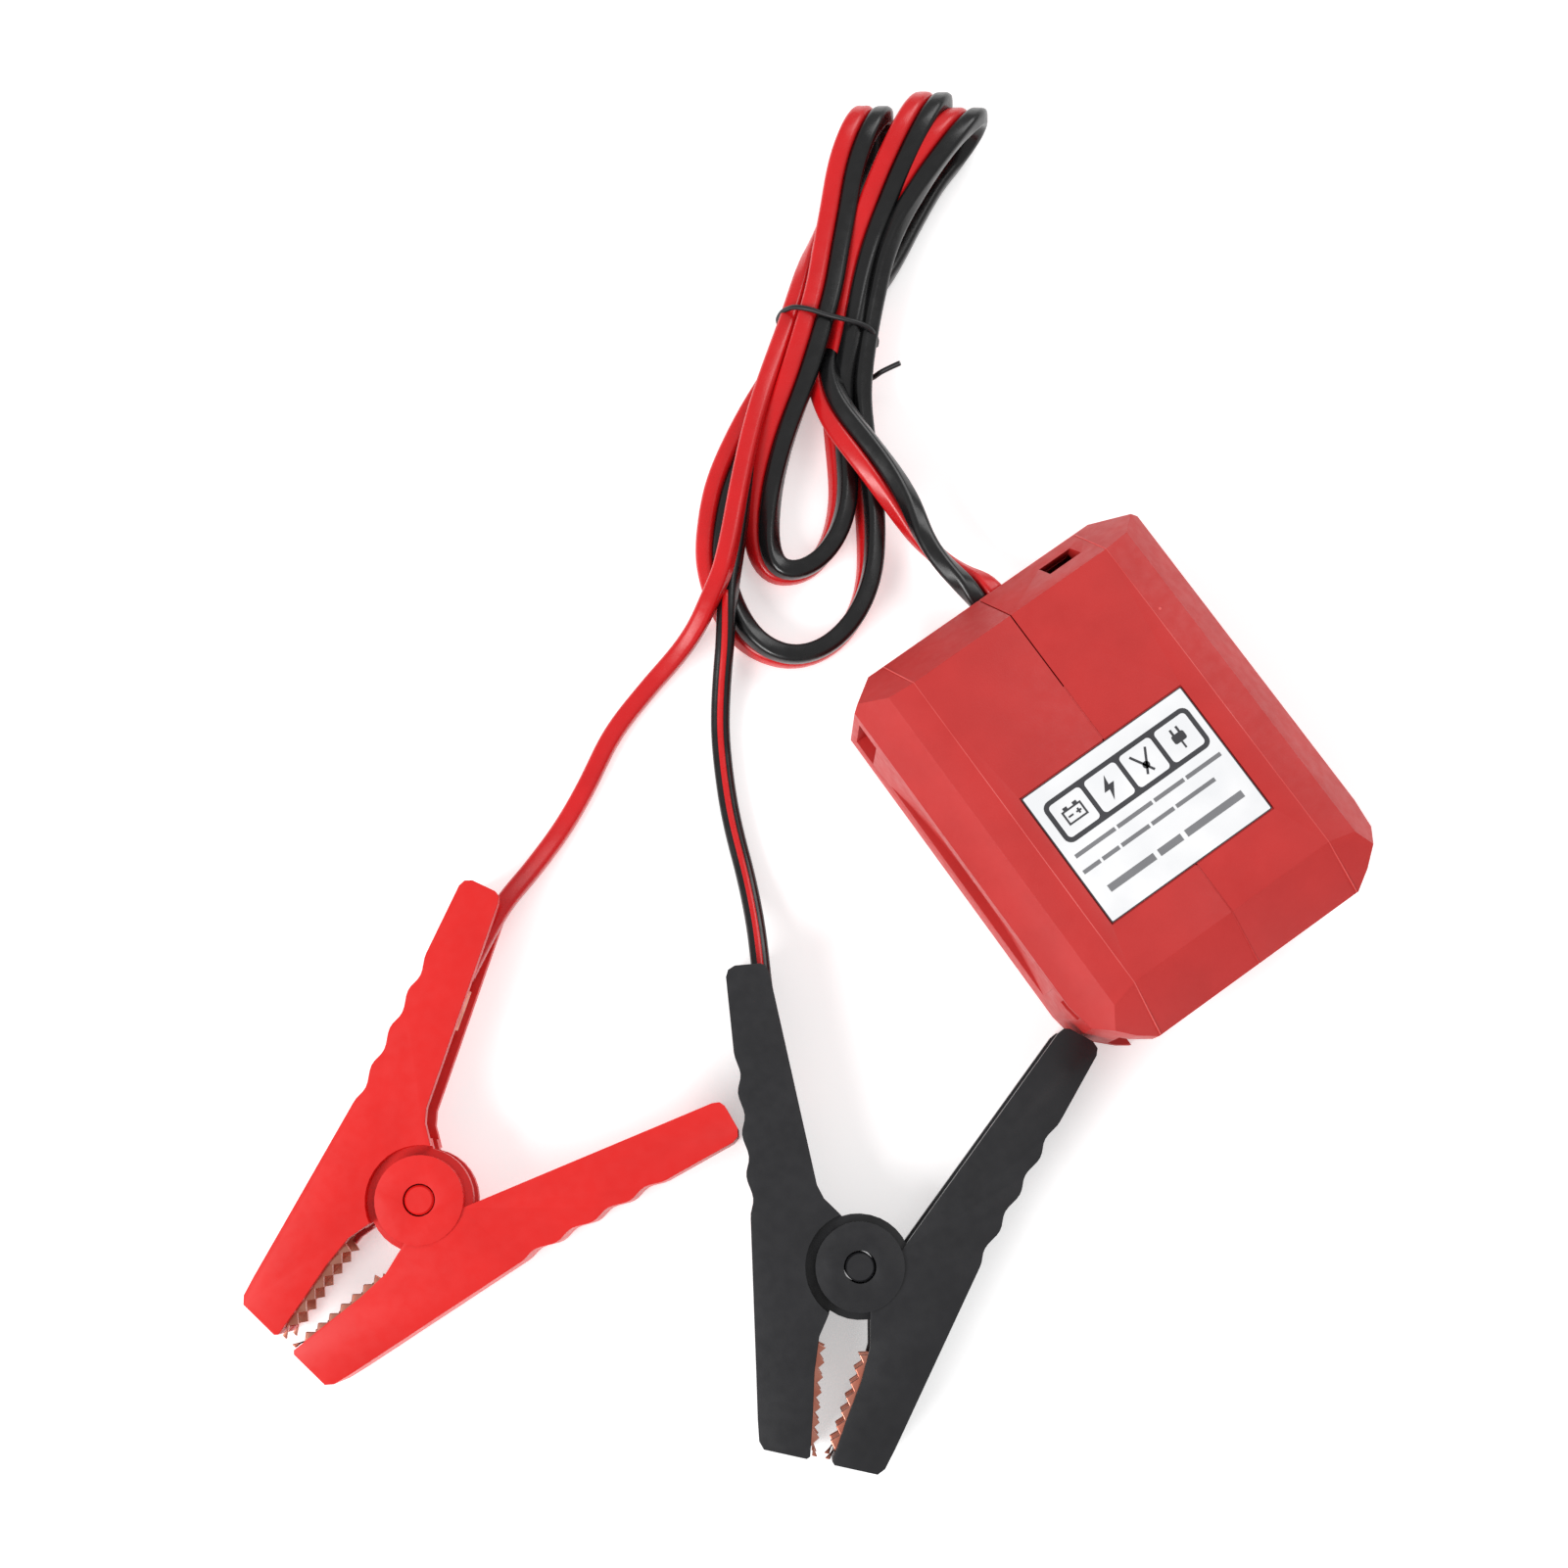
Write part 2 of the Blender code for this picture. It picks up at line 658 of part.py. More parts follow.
def make_jaw(colour, side, frame):
    """A copper channel with teeth on both edges; the fixed one runs on as a strap to the lead's lug."""
    kind = "fixed" if side > 0 else "moving"
    name = f"{colour}_{kind}_jaw"
    back = [(-14.4, 12.0), (-24.8, 9.6), (-37.5, 6.9), (-37.5, 2.1), (-39.4, 1.9)]
    outline = jaw_edge() + back
    inside = [(-60, -20), (-10, -20), (-10, 12.0), (-24.8, 8.5), (-60, 0.2)]
    jaw = prism(name, [(u, side * v) for u, v in outline], 2.9, 14.1, frame, "copper")
    boolean(jaw, prism(f"{name}_inside", [(u, side * v) for u, v in inside], 3.9, 13.1, frame))
    if side > 0:
        strap = [
            (-15.4, 10.4), (-9, 14.2), (0, 16.6), (9, 18.6), (24, 21.0),
            (24, 22.0), (8.8, 19.6), (-0.3, 17.6), (-9.5, 15.2), (-15.4, 11.5),
        ]
        boolean(jaw, prism(f"{name}_strap", strap, 6.2, 10.6, frame), "UNION")
    return jaw


def make_pin(colour, frame):
    top, bottom = CLAMP_THICKNESS + DISC_PROUD - 0.1, 0.25
    profile = [(0, top), (PIN_RADIUS - 0.4, top), (PIN_RADIUS, top - 0.4), (PIN_RADIUS, bottom + 0.4)]
    profile += [(PIN_RADIUS - 0.4, bottom), (0, bottom)]
    return turned(f"{colour}_pivot_pin", profile, frame, f"clamp_{colour}", sides=32)


def make_spring(colour, frame):
    """A torsion spring round the pin, with a leg in each grip."""
    leg_end = Vector((27.0, 21.2))
    reach = math.degrees(math.acos(SPRING_RADIUS / leg_end.length))
    first = math.degrees(math.atan2(leg_end.y, leg_end.x)) + reach
    sweep = 360 * SPRING_TURNS + 2 * (180 - first)
    low, high = 6.5, 10.5
    steps = 40
    points = [(leg_end.x, leg_end.y, low)]
    for step in range(steps + 1):
        angle = math.radians(first + sweep * step / steps)
        height = low + (high - low) * step / steps
        points.append((SPRING_RADIUS * math.cos(angle), SPRING_RADIUS * math.sin(angle), height))
    points.append((leg_end.x, -leg_end.y, high))
    return tube(f"{colour}_torsion_spring", points, SPRING_WIRE, frame, "steel", resolution=1)


def make_lug(colour, frame):
    """A crimp barrel on the lead's end, with a flat tongue against the copper strap."""
    barrel_start, barrel_end = Vector((37.2, 26.2, 8.5)), Vector((29.2, 22.6, 8.5))
    lug = cylinder(f"{colour}_lead_lug", 2.9, barrel_start, barrel_end, frame, "brass", sides=24)
    tongue = [(30.5, 22.6), (29.8, 24.6), (26, 23.8), (14, 21.7), (14, 20.8), (26, 22.8)]
    boolean(lug, prism(f"{colour}_lug_tongue", tongue, 6.4, 10.4, frame), "UNION")
    along = (barrel_start - barrel_end).normalized()
    mouth = barrel_start + along * 2
    boolean(lug, cylinder(f"{colour}_lug_bore", 2.35, mouth, barrel_end + along * 2.2, frame, sides=24))
    return lug


def make_clamp(colour, frame):
    for side in (1, -1):
        make_grip(colour, side, frame)
        make_jaw(colour, side, frame)
    make_pin(colour, frame)
    make_spring(colour, frame)
    make_lug(colour, frame)


# Cable


def twin_cores(route, steps):
    """The red and the black core's centre lines along a twin cable's route."""
    middle = smooth_curve(route, steps)
    red, black = [], []
    for index, (x, y, z, turn) in enumerate(middle):
        before, after = middle[max(index - 1, 0)], middle[min(index + 1, len(middle) - 1)]
        along = Vector((after[0] - before[0], after[1] - before[1], 0)).normalized()
        right = Vector((along.y, -along.x, 0))
        turn = math.radians(turn)
        offset = (Vector((0, 0, 1)) * math.sin(turn) - right * math.cos(turn)) * CORE_SPACING / 2
        red.append(Vector((x, y, z)) - offset)
        black.append(Vector((x, y, z)) + offset)
    return red, black


def make_hank(frame):
    """The outer shape of the folded cable, with a groove under the tie."""
    hank = prism("cable_hank", smooth_loop(HANK_OUTLINE, 3), GAP, HANK_HEIGHT, frame, "cable_black")
    groove = box("tie_groove", (-1.8, -30, -1), (1.8, 30, 2.1), frame)
    groove.location = (TIE_AT[0] * MM, TIE_AT[1] * MM, 0)
    groove.rotation_euler = (0, 0, math.radians(TIE_ANGLE))
    boolean(hank, groove)


def make_tie(frame):
    """A wire tie once round the hank, its ends side by side and sticking out."""
    half, top = TIE_HALF_WIDTH, HANK_HEIGHT + 1.1
    route = [  # along the hank, across it, height
        (-0.9, -half - 7.5, 6.0), (-0.9, -half - 3, 5.0), (-0.7, -half, 7.0), (0, -half, top - 3),
        (0, -half + 1.5, top), (0, 0, top), (0, half - 1.5, top), (0, half, top - 3), (0, half, 4),
        (0, half - 2.5, 1.0), (0, 0, 0.9), (0, -half + 2.5, 1.0), (0.7, -half, 2.6),
        (0.9, -half - 2.5, 4.6), (0.9, -half - 5, 5.4),
    ]
    turn = math.radians(TIE_ANGLE)
    placed = [
        (
            TIE_AT[0] + a * math.cos(turn) - b * math.sin(turn),
            TIE_AT[1] + a * math.sin(turn) + b * math.cos(turn),
            z,
        )
        for a, b, z in route
    ]
    tube("twist_tie", smooth_curve(placed, 3), TIE_WIRE, frame, "black_plastic", resolution=1)


def make_cable(frame):
    red, black = twin_cores(TAIL_ROUTE, 3)
    tube("cable_tail_red", red, CORE, frame, "cable_red")
    tube("cable_tail_black", black, CORE, frame, "cable_black")
    make_hank(frame)
    make_tie(frame)
    tube("red_lead", smooth_curve(RED_LEAD_ROUTE, 3), CORE, frame, "cable_red")
    tube("black_lead", smooth_curve(BLACK_LEAD_ROUTE, 3), CORE, frame, "cable_black")


housing_frame = new_frame("housing_frame", HOUSING_AT)
make_housing(housing_frame)
make_cable(housing_frame)
for clamp_colour, pivot in PIVOTS.items():
    pivot_at = (HOUSING_AT[0] + pivot[0], HOUSING_AT[1] + pivot[1])
    make_clamp(clamp_colour, new_frame(f"{clamp_colour}_clamp_frame", pivot_at, CLAMP_ANGLES[clamp_colour]))
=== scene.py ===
"""Finished look of a tool battery adapter that serves as a jump starter pack: a moulded housing,
a twin red and black cable folded into a tied hank, and two battery clamps."""

import json
import math

import bmesh
import bpy
from mathutils import Matrix, Vector

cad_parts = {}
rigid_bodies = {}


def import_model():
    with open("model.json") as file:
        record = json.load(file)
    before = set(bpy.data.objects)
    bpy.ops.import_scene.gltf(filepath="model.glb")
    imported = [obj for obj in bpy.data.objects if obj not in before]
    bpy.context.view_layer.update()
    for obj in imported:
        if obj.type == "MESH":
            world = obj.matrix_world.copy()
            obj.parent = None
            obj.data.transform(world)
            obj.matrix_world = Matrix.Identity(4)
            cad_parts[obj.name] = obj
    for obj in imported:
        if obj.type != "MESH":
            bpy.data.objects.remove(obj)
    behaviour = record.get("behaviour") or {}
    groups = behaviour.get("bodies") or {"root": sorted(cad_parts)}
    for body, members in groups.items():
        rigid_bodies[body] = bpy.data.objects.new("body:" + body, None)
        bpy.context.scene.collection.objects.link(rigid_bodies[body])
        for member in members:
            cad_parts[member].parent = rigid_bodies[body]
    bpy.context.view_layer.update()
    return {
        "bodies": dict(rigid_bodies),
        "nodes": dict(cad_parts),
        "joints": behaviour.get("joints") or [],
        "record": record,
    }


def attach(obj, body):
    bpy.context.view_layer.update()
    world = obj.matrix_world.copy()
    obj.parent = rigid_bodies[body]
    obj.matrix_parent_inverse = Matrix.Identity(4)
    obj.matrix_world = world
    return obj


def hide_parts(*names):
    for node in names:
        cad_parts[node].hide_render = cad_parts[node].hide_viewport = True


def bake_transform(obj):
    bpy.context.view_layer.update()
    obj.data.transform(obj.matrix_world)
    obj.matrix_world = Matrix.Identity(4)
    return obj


MM = 0.001

# Where things lie, in millimetres
HOUSING_AT = Vector((87.350, 11.979, 0.0))  # centre of the housing's footprint
TIE_FROM_HOUSING = Vector((12.5, 121.5, 0.0))  # middle of the tied bundle, from the housing centre
BUNDLE_ANGLE = math.radians(40)  # the bundle's direction, from +X
TWIN_SIDE = Vector((0.816, -0.578, 0.0))  # the side that the black core keeps to where the twin lies flat

# The camera looks down, a little from one side
CAMERA_FROM_HOUSING = (-108.105, -30.80, 500.0)
CAMERA_RIGHT = (0.8159, -0.5782, 0.0)
CAMERA_BACK = (-0.1035, -0.1461, 0.9838)
CAMERA_LENS = 52.2
SENSOR_WIDTH = 36.0

# The studio
SKY_STRENGTH = 0.5
LIGHTS = [
    # name, place in metres, size, power
    ("key", (-1.0, -0.05, 0.8), 0.6, 12.0),
    ("fill", (0.85, 0.35, 0.8), 0.7, 5.0),
]
FLOOR_SIZE = 6.0
FLOOR_BELOW = 0.05 * MM
FLOOR_GLOW = 0.42  # the white table gives off a little light
FLOOR_GREYS = (0.9, 0.93)
FLOOR_ROUGHNESS = 0.85

# Surfaces: noise scales are per metre, depths in millimetres
CLOUD_SCALE = 90.0
GLOSS_SCALE = 400.0
GLOSS_SPREAD = 0.05
GRAIN_STRENGTH = 0.5
PATCH_SCALE = 220.0
PATCH_SHINIER = 0.07
PATCH_DULLER = 0.1
BRUSH_STRENGTH = 0.25
BRUSH_DEPTH = 0.012

# The twin cable
CORE_WIDTH = 4.2
CORE_SPACING = 4.24
CORE_CORNER = 1.25
CORE_STEP = 1.2
CORE_ROUNDS = 6
CORE_LOWEST = 2.5  # of a core's centre line

# From the housing: x, y, height and turn of the pair, in millimetres and degrees
EXIT_ROUTE = [
    (4.2, 49.4, 12.0, 180),
    (4.2, 51.4, 12.0, 180),
    (3.5, 54.0, 12.0, 162),
    (2.3, 57.8, 11.4, 138),
    (1.3, 62.8, 10.8, 115),
    (0.9, 69.9, 10.6, 85),
    (1.7, 77.5, 11.0, 50),
    (2.0, 85.8, 11.5, 25),
]
# Along the bundle, across it, height and turn
HANK_ROUTE = [
    # up over the loops and in under the bundle
    (-25.6, -13.9, 11.8, 18),
    (-20.4, -7.9, 11.0, 30),
    (-15.2, -3.8, 9.6, 48),
    (-8.0, -0.6, 7.0, 42),
    (0.0, -0.4, 4.8, 22),
    (10.0, -3.2, 3.4, 10),
    (22.0, -7.2, 2.4, 0),
    (33.0, -9.6, 2.3, 0),
    (45.0, -12.6, 2.3, 0),
    # third fold
    (51.8, -15.6, 2.9, 0),
    (56.8, -17.8, 5.6, 0),
    (58.6, -18.6, 9.6, 0),
    (56.8, -17.8, 13.6, 0),
    (51.8, -15.2, 16.0, 0),
    (45.0, -12.2, 15.6, 6),
    (37.6, -9.4, 13.6, 18),
    (29.0, -7.2, 11.4, 36),
    (20.0, -6.4, 9.9, 50),
    (12.0, -6.9, 8.8, 60),
    (0.0, -8.0, 7.8, 68),
    # outer loop
    (-12.0, -9.6, 6.0, 64),
    (-23.0, -13.4, 4.8, 60),
    (-33.0, -17.6, 4.5, 62),
    (-43.0, -20.9, 4.5, 66),
    (-53.7, -22.9, 4.5, 75),
    (-63.7, -21.6, 4.5, 84),
    (-71.3, -17.0, 4.5, 84),
    (-74.8, -10.4, 4.5, 78),
    (-74.2, -3.0, 4.4, 64),
    (-70.2, 3.4, 4.0, 50),
    (-64.0, 8.5, 3.4, 38),
    (-56.6, 12.2, 2.9, 28),
    (-48.0, 13.9, 2.6, 20),
    (-38.0, 14.4, 2.5, 12),
    (-24.0, 12.2, 2.3, 4),
    (-12.0, 9.0, 2.3, 0),
    (0.0, 5.6, 2.3, 0),
    (12.0, 2.4, 2.3, 0),
    (24.0, -0.4, 2.3, 0),
    (36.0, -2.8, 2.3, 0),
    (47.0, -5.8, 2.4, 0),
    # second fold
    (53.4, -8.0, 2.9, 0),
    (58.4, -9.4, 5.6, 0),
    (60.2, -9.9, 9.8, 0),
    (58.4, -9.1, 14.0, 0),
    (53.2, -7.3, 16.6, 0),
    (46.2, -5.6, 16.4, 0),
    (39.4, -4.2, 14.8, 0),
    (32.0, -3.1, 12.9, 0),
    (24.0, -2.4, 11.0, 12),
    (14.0, -2.6, 10.3, 28),
    (0.0, -3.8, 9.7, 40),
    # inner loop
    (-10.8, -4.6, 7.2, 52),
    (-24.4, -9.0, 5.0, 60),
    (-32.6, -11.8, 4.5, 62),
    (-40.0, -13.1, 4.5, 66),
    (-47.8, -12.4, 4.5, 74),
    (-54.0, -9.2, 4.5, 80),
    (-56.6, -4.2, 4.5, 72),
    (-55.0, 0.0, 4.6, 56),
    (-49.0, 3.2, 5.2, 36),
    (-38.7, 5.3, 6.4, 16),
    (-26.5, 5.5, 8.2, 8),
    (-13.5, 4.3, 9.9, 0),
    (-1.5, 3.7, 11.0, 0),
    (9.0, 3.6, 11.2, 0),
    (18.2, 4.4, 11.6, 0),
    (27.6, 5.1, 12.8, 0),
    (35.4, 5.8, 14.6, 0),
    (41.2, 5.6, 16.0, 0),
    # first fold
    (47.0, 4.7, 16.2, 0),
    (51.8, 3.4, 13.7, 0),
    (53.5, 2.6, 9.5, 0),
    (51.8, 2.6, 5.4, 0),
    (47.0, 3.2, 2.9, 0),
    (41.2, 4.2, 2.5, 0),
    (33.0, 5.2, 2.3, -4),
    (24.0, 6.0, 2.6, -14),
    (16.0, 7.4, 3.8, -40),
    (8.0, 8.6, 5.0, -66),
    (0.0, 9.4, 6.2, -80),
    (-8.0, 10.2, 7.2, -86),
    (-20.0, 10.9, 8.6, -88),
    (-30.5, 10.8, 8.8, -86),
    (-42.4, 9.8, 9.0, -80),
    (-54.0, 8.5, 9.7, -74),
    (-62.0, 7.9, 10.2, -66),
]
# The split leads, from the housing, down to their clamps
RED_LEAD_ROUTE = [
    (-46.6, 85.0, 11.0, -84),
    (-52.0, 82.2, 8.4, -90),
    (-59.0, 80.2, 5.2, -90),
    (-68.6, 78.2, 2.7, -90),
    (-80.6, 74.3, 2.3, -90),
    (-91.3, 68.3, 2.3, -90),
    (-101.4, 63.3, 2.9, -90),
    (-112.2, 59.0, 5.6, -90),
    (-121.2, 56.0, 8.0, -90),
    (-129.5, 51.9, 8.5, -90),
    (-137.4, 47.5, 8.5, -90),
]
BLACK_LEAD_ROUTE = [
    (-44.8, 80.8, 8.7, -84),
    (-49.0, 75.4, 7.6, -90),
    (-54.6, 68.8, 5.0, -90),
    (-60.6, 60.8, 2.8, -90),
    (-66.6, 50.2, 2.3, -90),
    (-70.6, 41.6, 2.3, -90),
    (-74.9, 30.4, 2.9, -90),
    (-79.4, 20.4, 5.8, -90),
    (-84.0, 11.9, 8.3, -90),
    (-88.9, 3.0, 8.5, -90),
    (-93.0, -5.0, 8.5, -90),
]

# Once round the bundle, then out to one side
TIE_WIRE = 1.2
TIE_STEP = 0.6
TIE_ROUTE = [
    (0.5, -10.9, 6.6),
    (0.9, -10.8, 9.0),
    (1.6, -9.4, 11.9),
    (1.9, -6.6, 13.7),
    (1.8, -3.0, 14.2),
    (1.9, 1.0, 14.0),
    (2.2, 5.2, 13.9),
    (2.4, 8.6, 12.6),
    (2.2, 10.6, 10.6),
    (1.6, 12.0, 8.0),
    (0.8, 12.2, 5.0),
    (-0.2, 10.0, 1.6),
    (-1.6, 4.0, 0.7),
    (-3.4, -3.0, 0.7),
    (-5.4, -8.6, 1.6),
    (-6.8, -11.4, 4.4),
    (-5.6, -13.6, 7.0),
    (-4.2, -15.8, 8.4),
    (-3.2, -17.4, 9.2),
]

# The strip of red sheath on the black lead
STRIPE_WIDTH = 1.5
STRIPE_START = 2  # in steps of the path, after the pair splits
STRIPE_SUNK = 0.3
STRIPE_PROUD = 0.2
STRIPE_EDGE_PROUD = 0.06
STRIPE_ROUNDING = (0.1, 0.35)  # how far its edge and its back draw in

# The label, in millimetres from its own middle, and the marks of the mould, drawn in a lighter red that
# paints a highlight on them
LABEL_AT = (-0.8, -8.8)
LABEL_SIZE = (41.2, 31.5)
LABEL_TOP = 37.65
LABEL_RIM = 0.25
LABEL_CORNER = 0.3
FACE_CORNER = 0.2
PRINT_LAYER = 0.06
PRINT_SUNK = 0.2
PRINT_FRAME = ((-18.3, 2.2), (18.9, 12.2))
TILE_GAP = 1.05
# The lines of print: first x, last x, y, height, and how long the words are
LABEL_LINES = [
    (-18.6, 18.8, -0.4, 0.9, (8, 7, 6, 7)),
    (-19.2, 14.6, -4.0, 0.9, (3, 3, 5, 4, 7)),
    (-16.9, 17.5, -9.7, 1.6, (4, 2, 5)),
]
WORD_GAP = 0.7  # of the height of the print
FRAME_CORNER = 1.8
TILE_CORNER = 0.9
MOULD_LINE_X = 25.0
MOULD_LINE = [(48.6, 22.6), (39.7, 37.7), (-36.8, 37.7), (-48.6, 29.7)]  # as (y, height)
MOULD_LINE_SPLAY = 0.6  # how much further out it ends than where it runs along the top
# width of the lighter line along the crease, a painted highlight
MOULD_LINE_HIGHLIGHT_WIDTH = 0.28
GATE_AT = (26.5, 22.8, 37.5)
GATE_WIDTH = 0.7
GATE_RISE = 0.1
# Where the shells' edges touch, as (y, height) along the seam, each side of the label
TIGHT_SEAM = [[(21.0, 37.62), (7.4, 37.64)], [(-25.0, 37.64), (-36.8, 37.64), (-48.6, 29.5)]]
SEAM_WIDTH = 0.36

# Rounding of the part's own shapes
MERGE_WITHIN = 0.002 * MM
FLAT_WITHIN = 0.6  # degrees


def from_housing(x, y, z):
    return HOUSING_AT + Vector((x, y, z))


def from_tie(along, across, z):
    turned = Matrix.Rotation(BUNDLE_ANGLE, 3, "Z") @ Vector((along, across, z))
    return HOUSING_AT + TIE_FROM_HOUSING + turned


# ---------------------------------------------------------------- curves and tubes


def smooth_points(points, step):
    """Evenly spaced samples of a smooth curve through points, whose items are vectors of any size."""
    samples = []
    last = len(points) - 1
    for i in range(last):
        before = points[max(i - 1, 0)]
        start = points[i]
        end = points[i + 1]
        after = points[min(i + 2, last)]
        span = (Vector(end[:3]) - Vector(start[:3])).length
        count = max(2, round(span / step))
        for k in range(count):
            t = k / count
            samples.append(catmull_rom(before, start, end, after, t))
    samples.append(tuple(points[-1]))
    return samples


def catmull_rom(a, b, c, d, t):
    result = []
    for p, q, r, s in zip(a, b, c, d):
        linear = (r - p) * t
        square = (2 * p - 5 * q + 4 * r - s) * t * t
        cube = (3 * q - 3 * r + s - p) * t * t * t
        result.append(0.5 * (2 * q + linear + square + cube))
    return tuple(result)


def even_points(points, step):
    """Points along the line through points, one step apart, with both ends kept."""
    kept = [points[0]]
    for point in points[1:-1]:
        if (Vector(point[:3]) - Vector(kept[-1][:3])).length >= step:
            kept.append(point)
    if (Vector(points[-1][:3]) - Vector(kept[-1][:3])).length < step / 2:
        kept.pop()
    return kept + [points[-1]]


def relaxed(points, rounds):
    """The line with its small kinks evened out, its two ends left where they are."""
    for _ in range(rounds):
        inner = zip(points, points[1:], points[2:])
        middle = [tuple((a + 2 * b + c) / 4 for a, b, c in zip(p, q, r)) for p, q, r in inner]
        points = [points[0], *middle, points[-1]]
    return points


def tangents(points):
    last = len(points) - 1
    return [(points[min(i + 1, last)] - points[max(i - 1, 0)]).normalized() for i in range(last + 1)]


def pair_direction(tangent, turn):
    """Direction from the red core to the black core, square to the cable."""
    angle = math.radians(turn)
    wanted = TWIN_SIDE * math.cos(angle) + Vector((0, 0, math.sin(angle)))
    return (wanted - tangent * wanted.dot(tangent)).normalized()


def core_paths():
    """Each core's centre line as (x, y, z, turn), and the index on it where the pair splits."""
    route = [(*from_housing(x, y, z), turn) for x, y, z, turn in EXIT_ROUTE]
    route += [(*from_tie(x, y, z), turn) for x, y, z, turn in HANK_ROUTE]
    samples = smooth_points(route, CORE_SPACING)
    centres = [Vector(s[:3]) for s in samples]
    directions = [pair_direction(t, s[3]) for t, s in zip(tangents(centres), samples)]
    paths = {}
    for name, side, lead in (("red", -0.5, RED_LEAD_ROUTE), ("black", 0.5, BLACK_LEAD_ROUTE)):
        core = [
            (*(c + d * CORE_SPACING * side), s[3]) for c, d, s in zip(centres, directions, samples)
        ]
        split = Vector(core[-1][:3])
        core += [(*from_housing(x, y, z), turn) for x, y, z, turn in lead]
        path = relaxed(even_points(smooth_points(core, CORE_STEP / 3), CORE_STEP), CORE_ROUNDS)
        path = [(x, y, max(z, CORE_LOWEST), turn) for x, y, z, turn in path]
        distances = [(Vector(point[:3]) - split).length for point in path]
        paths[name] = (path, distances.index(min(distances)))
    return paths


def rounded_square(width, corner, steps):
    """Outline of a square with round corners, as (side, up) pairs."""
    flat = width / 2 - corner
    outline = []
    for quarter in range(4):
        start = quarter * math.pi / 2
        centre = Vector((flat, flat))
        centre.rotate(Matrix.Rotation(start, 2))
        for k in range(steps + 1):
            angle = start + k * math.pi / 2 / steps
            outline.append(centre + Vector((math.cos(angle), math.sin(angle))) * corner)
    return outline


def sweep(name, path, outline):
    """A closed tube of one outline along path, whose items are (x, y, z, turn) in millimetres."""
    centres = [Vector(p[:3]) for p in path]
    bm = bmesh.new()
    rings = []
    for centre, tangent, point in zip(centres, tangents(centres), path):
        side = pair_direction(tangent, point[3])
        up = side.cross(tangent)
        ring = [bm.verts.new((centre + side * s + up * u) * MM) for s, u in outline]
        rings.append(ring)
    for ring, following in zip(rings, rings[1:]):
        for k in range(len(outline)):
            n = (k + 1) % len(outline)
            bm.faces.new((ring[k], ring[n], following[n], following[k]))
    bm.faces.new(rings[0])
    bm.faces.new(rings[-1])
    return mesh_object(name, bm)


def mesh_object(name, bm):
    bmesh.ops.recalc_face_normals(bm, faces=bm.faces)
    mesh = bpy.data.meshes.new(name)
    bm.to_mesh(mesh)
    bm.free()
    mesh.shade_smooth()
    obj = bpy.data.objects.new(name, mesh)
    bpy.context.scene.collection.objects.link(obj)
    return obj


# ---------------------------------------------------------------- materials


def linear(red, green, blue):
    """Linear colour of an sRGB colour given from 0 to 255."""
    parts = []
    for value in (red, green, blue):
        v = value / 255
        parts.append(v / 12.92 if v <= 0.04045 else ((v + 0.055) / 1.055) ** 2.4)
    return (*parts, 1.0)


def new_material(name):
    material = bpy.data.materials.new(name)
    material.use_nodes = True
    nodes = material.node_tree.nodes
    return material, nodes, material.node_tree.links, nodes["Principled BSDF"]


def noise(nodes, links, scale, detail=3.0, roughness=0.5):
    coordinates = nodes.new("ShaderNodeTexCoord")
    texture = nodes.new("ShaderNodeTexNoise")
    texture.inputs["Scale"].default_value = scale
    texture.inputs["Detail"].default_value = detail
    texture.inputs["Roughness"].default_value = roughness
    links.new(coordinates.outputs["Object"], texture.inputs["Vector"])
    return texture


def ramp(nodes, links, source, low, high, start=0.35, end=0.65):
    """Maps a texture's factor to a range of colours or greys."""
    node = nodes.new("ShaderNodeValToRGB")
    node.color_ramp.elements[0].position = start
    node.color_ramp.elements[1].position = end
    node.color_ramp.elements[0].color = low
    node.color_ramp.elements[1].color = high
    links.new(source, node.inputs["Fac"])
    return node.outputs["Color"]


def grey(value):
    return (value, value, value, 1.0)


def bump(nodes, links, height, shader, strength, distance):
    node = nodes.new("ShaderNodeBump")
    node.inputs["Strength"].default_value = strength
    node.inputs["Distance"].default_value = distance
    links.new(height, node.inputs["Height"])
    links.new(node.outputs["Normal"], shader.inputs["Normal"])


def plastic(name, colour, shade, roughness, grain, depth):
    """Moulded plastic: slightly cloudy colour, uneven gloss and a fine surface grain."""
    material, nodes, links, shader = new_material(name)
    clouds = noise(nodes, links, CLOUD_SCALE)
    links.new(ramp(nodes, links, clouds.outputs["Fac"], shade, colour), shader.inputs["Base Color"])
    low, high = grey(roughness - GLOSS_SPREAD), grey(roughness + GLOSS_SPREAD)
    uneven = noise(nodes, links, GLOSS_SCALE)
    links.new(ramp(nodes, links, uneven.outputs["Fac"], low, high), shader.inputs["Roughness"])
    speckle = noise(nodes, links, grain, 2.0, 0.6)
    bump(nodes, links, speckle.outputs["Fac"], shader, GRAIN_STRENGTH, depth * MM)
    return material


def metal(name, colour, shade, roughness, brush):
    """Stamped or plated metal with faint drawing marks and dull patches."""
    material, nodes, links, shader = new_material(name)
    shader.inputs["Metallic"].default_value = 1.0
    patches = noise(nodes, links, PATCH_SCALE, 4.0)
    links.new(ramp(nodes, links, patches.outputs["Fac"], shade, colour), shader.inputs["Base Color"])
    low, high = grey(roughness - PATCH_SHINIER), grey(roughness + PATCH_DULLER)
    links.new(ramp(nodes, links, patches.outputs["Fac"], high, low), shader.inputs["Roughness"])
    marks = noise(nodes, links, brush, 2.0, 0.7)
    bump(nodes, links, marks.outputs["Fac"], shader, BRUSH_STRENGTH, BRUSH_DEPTH * MM)
    return material


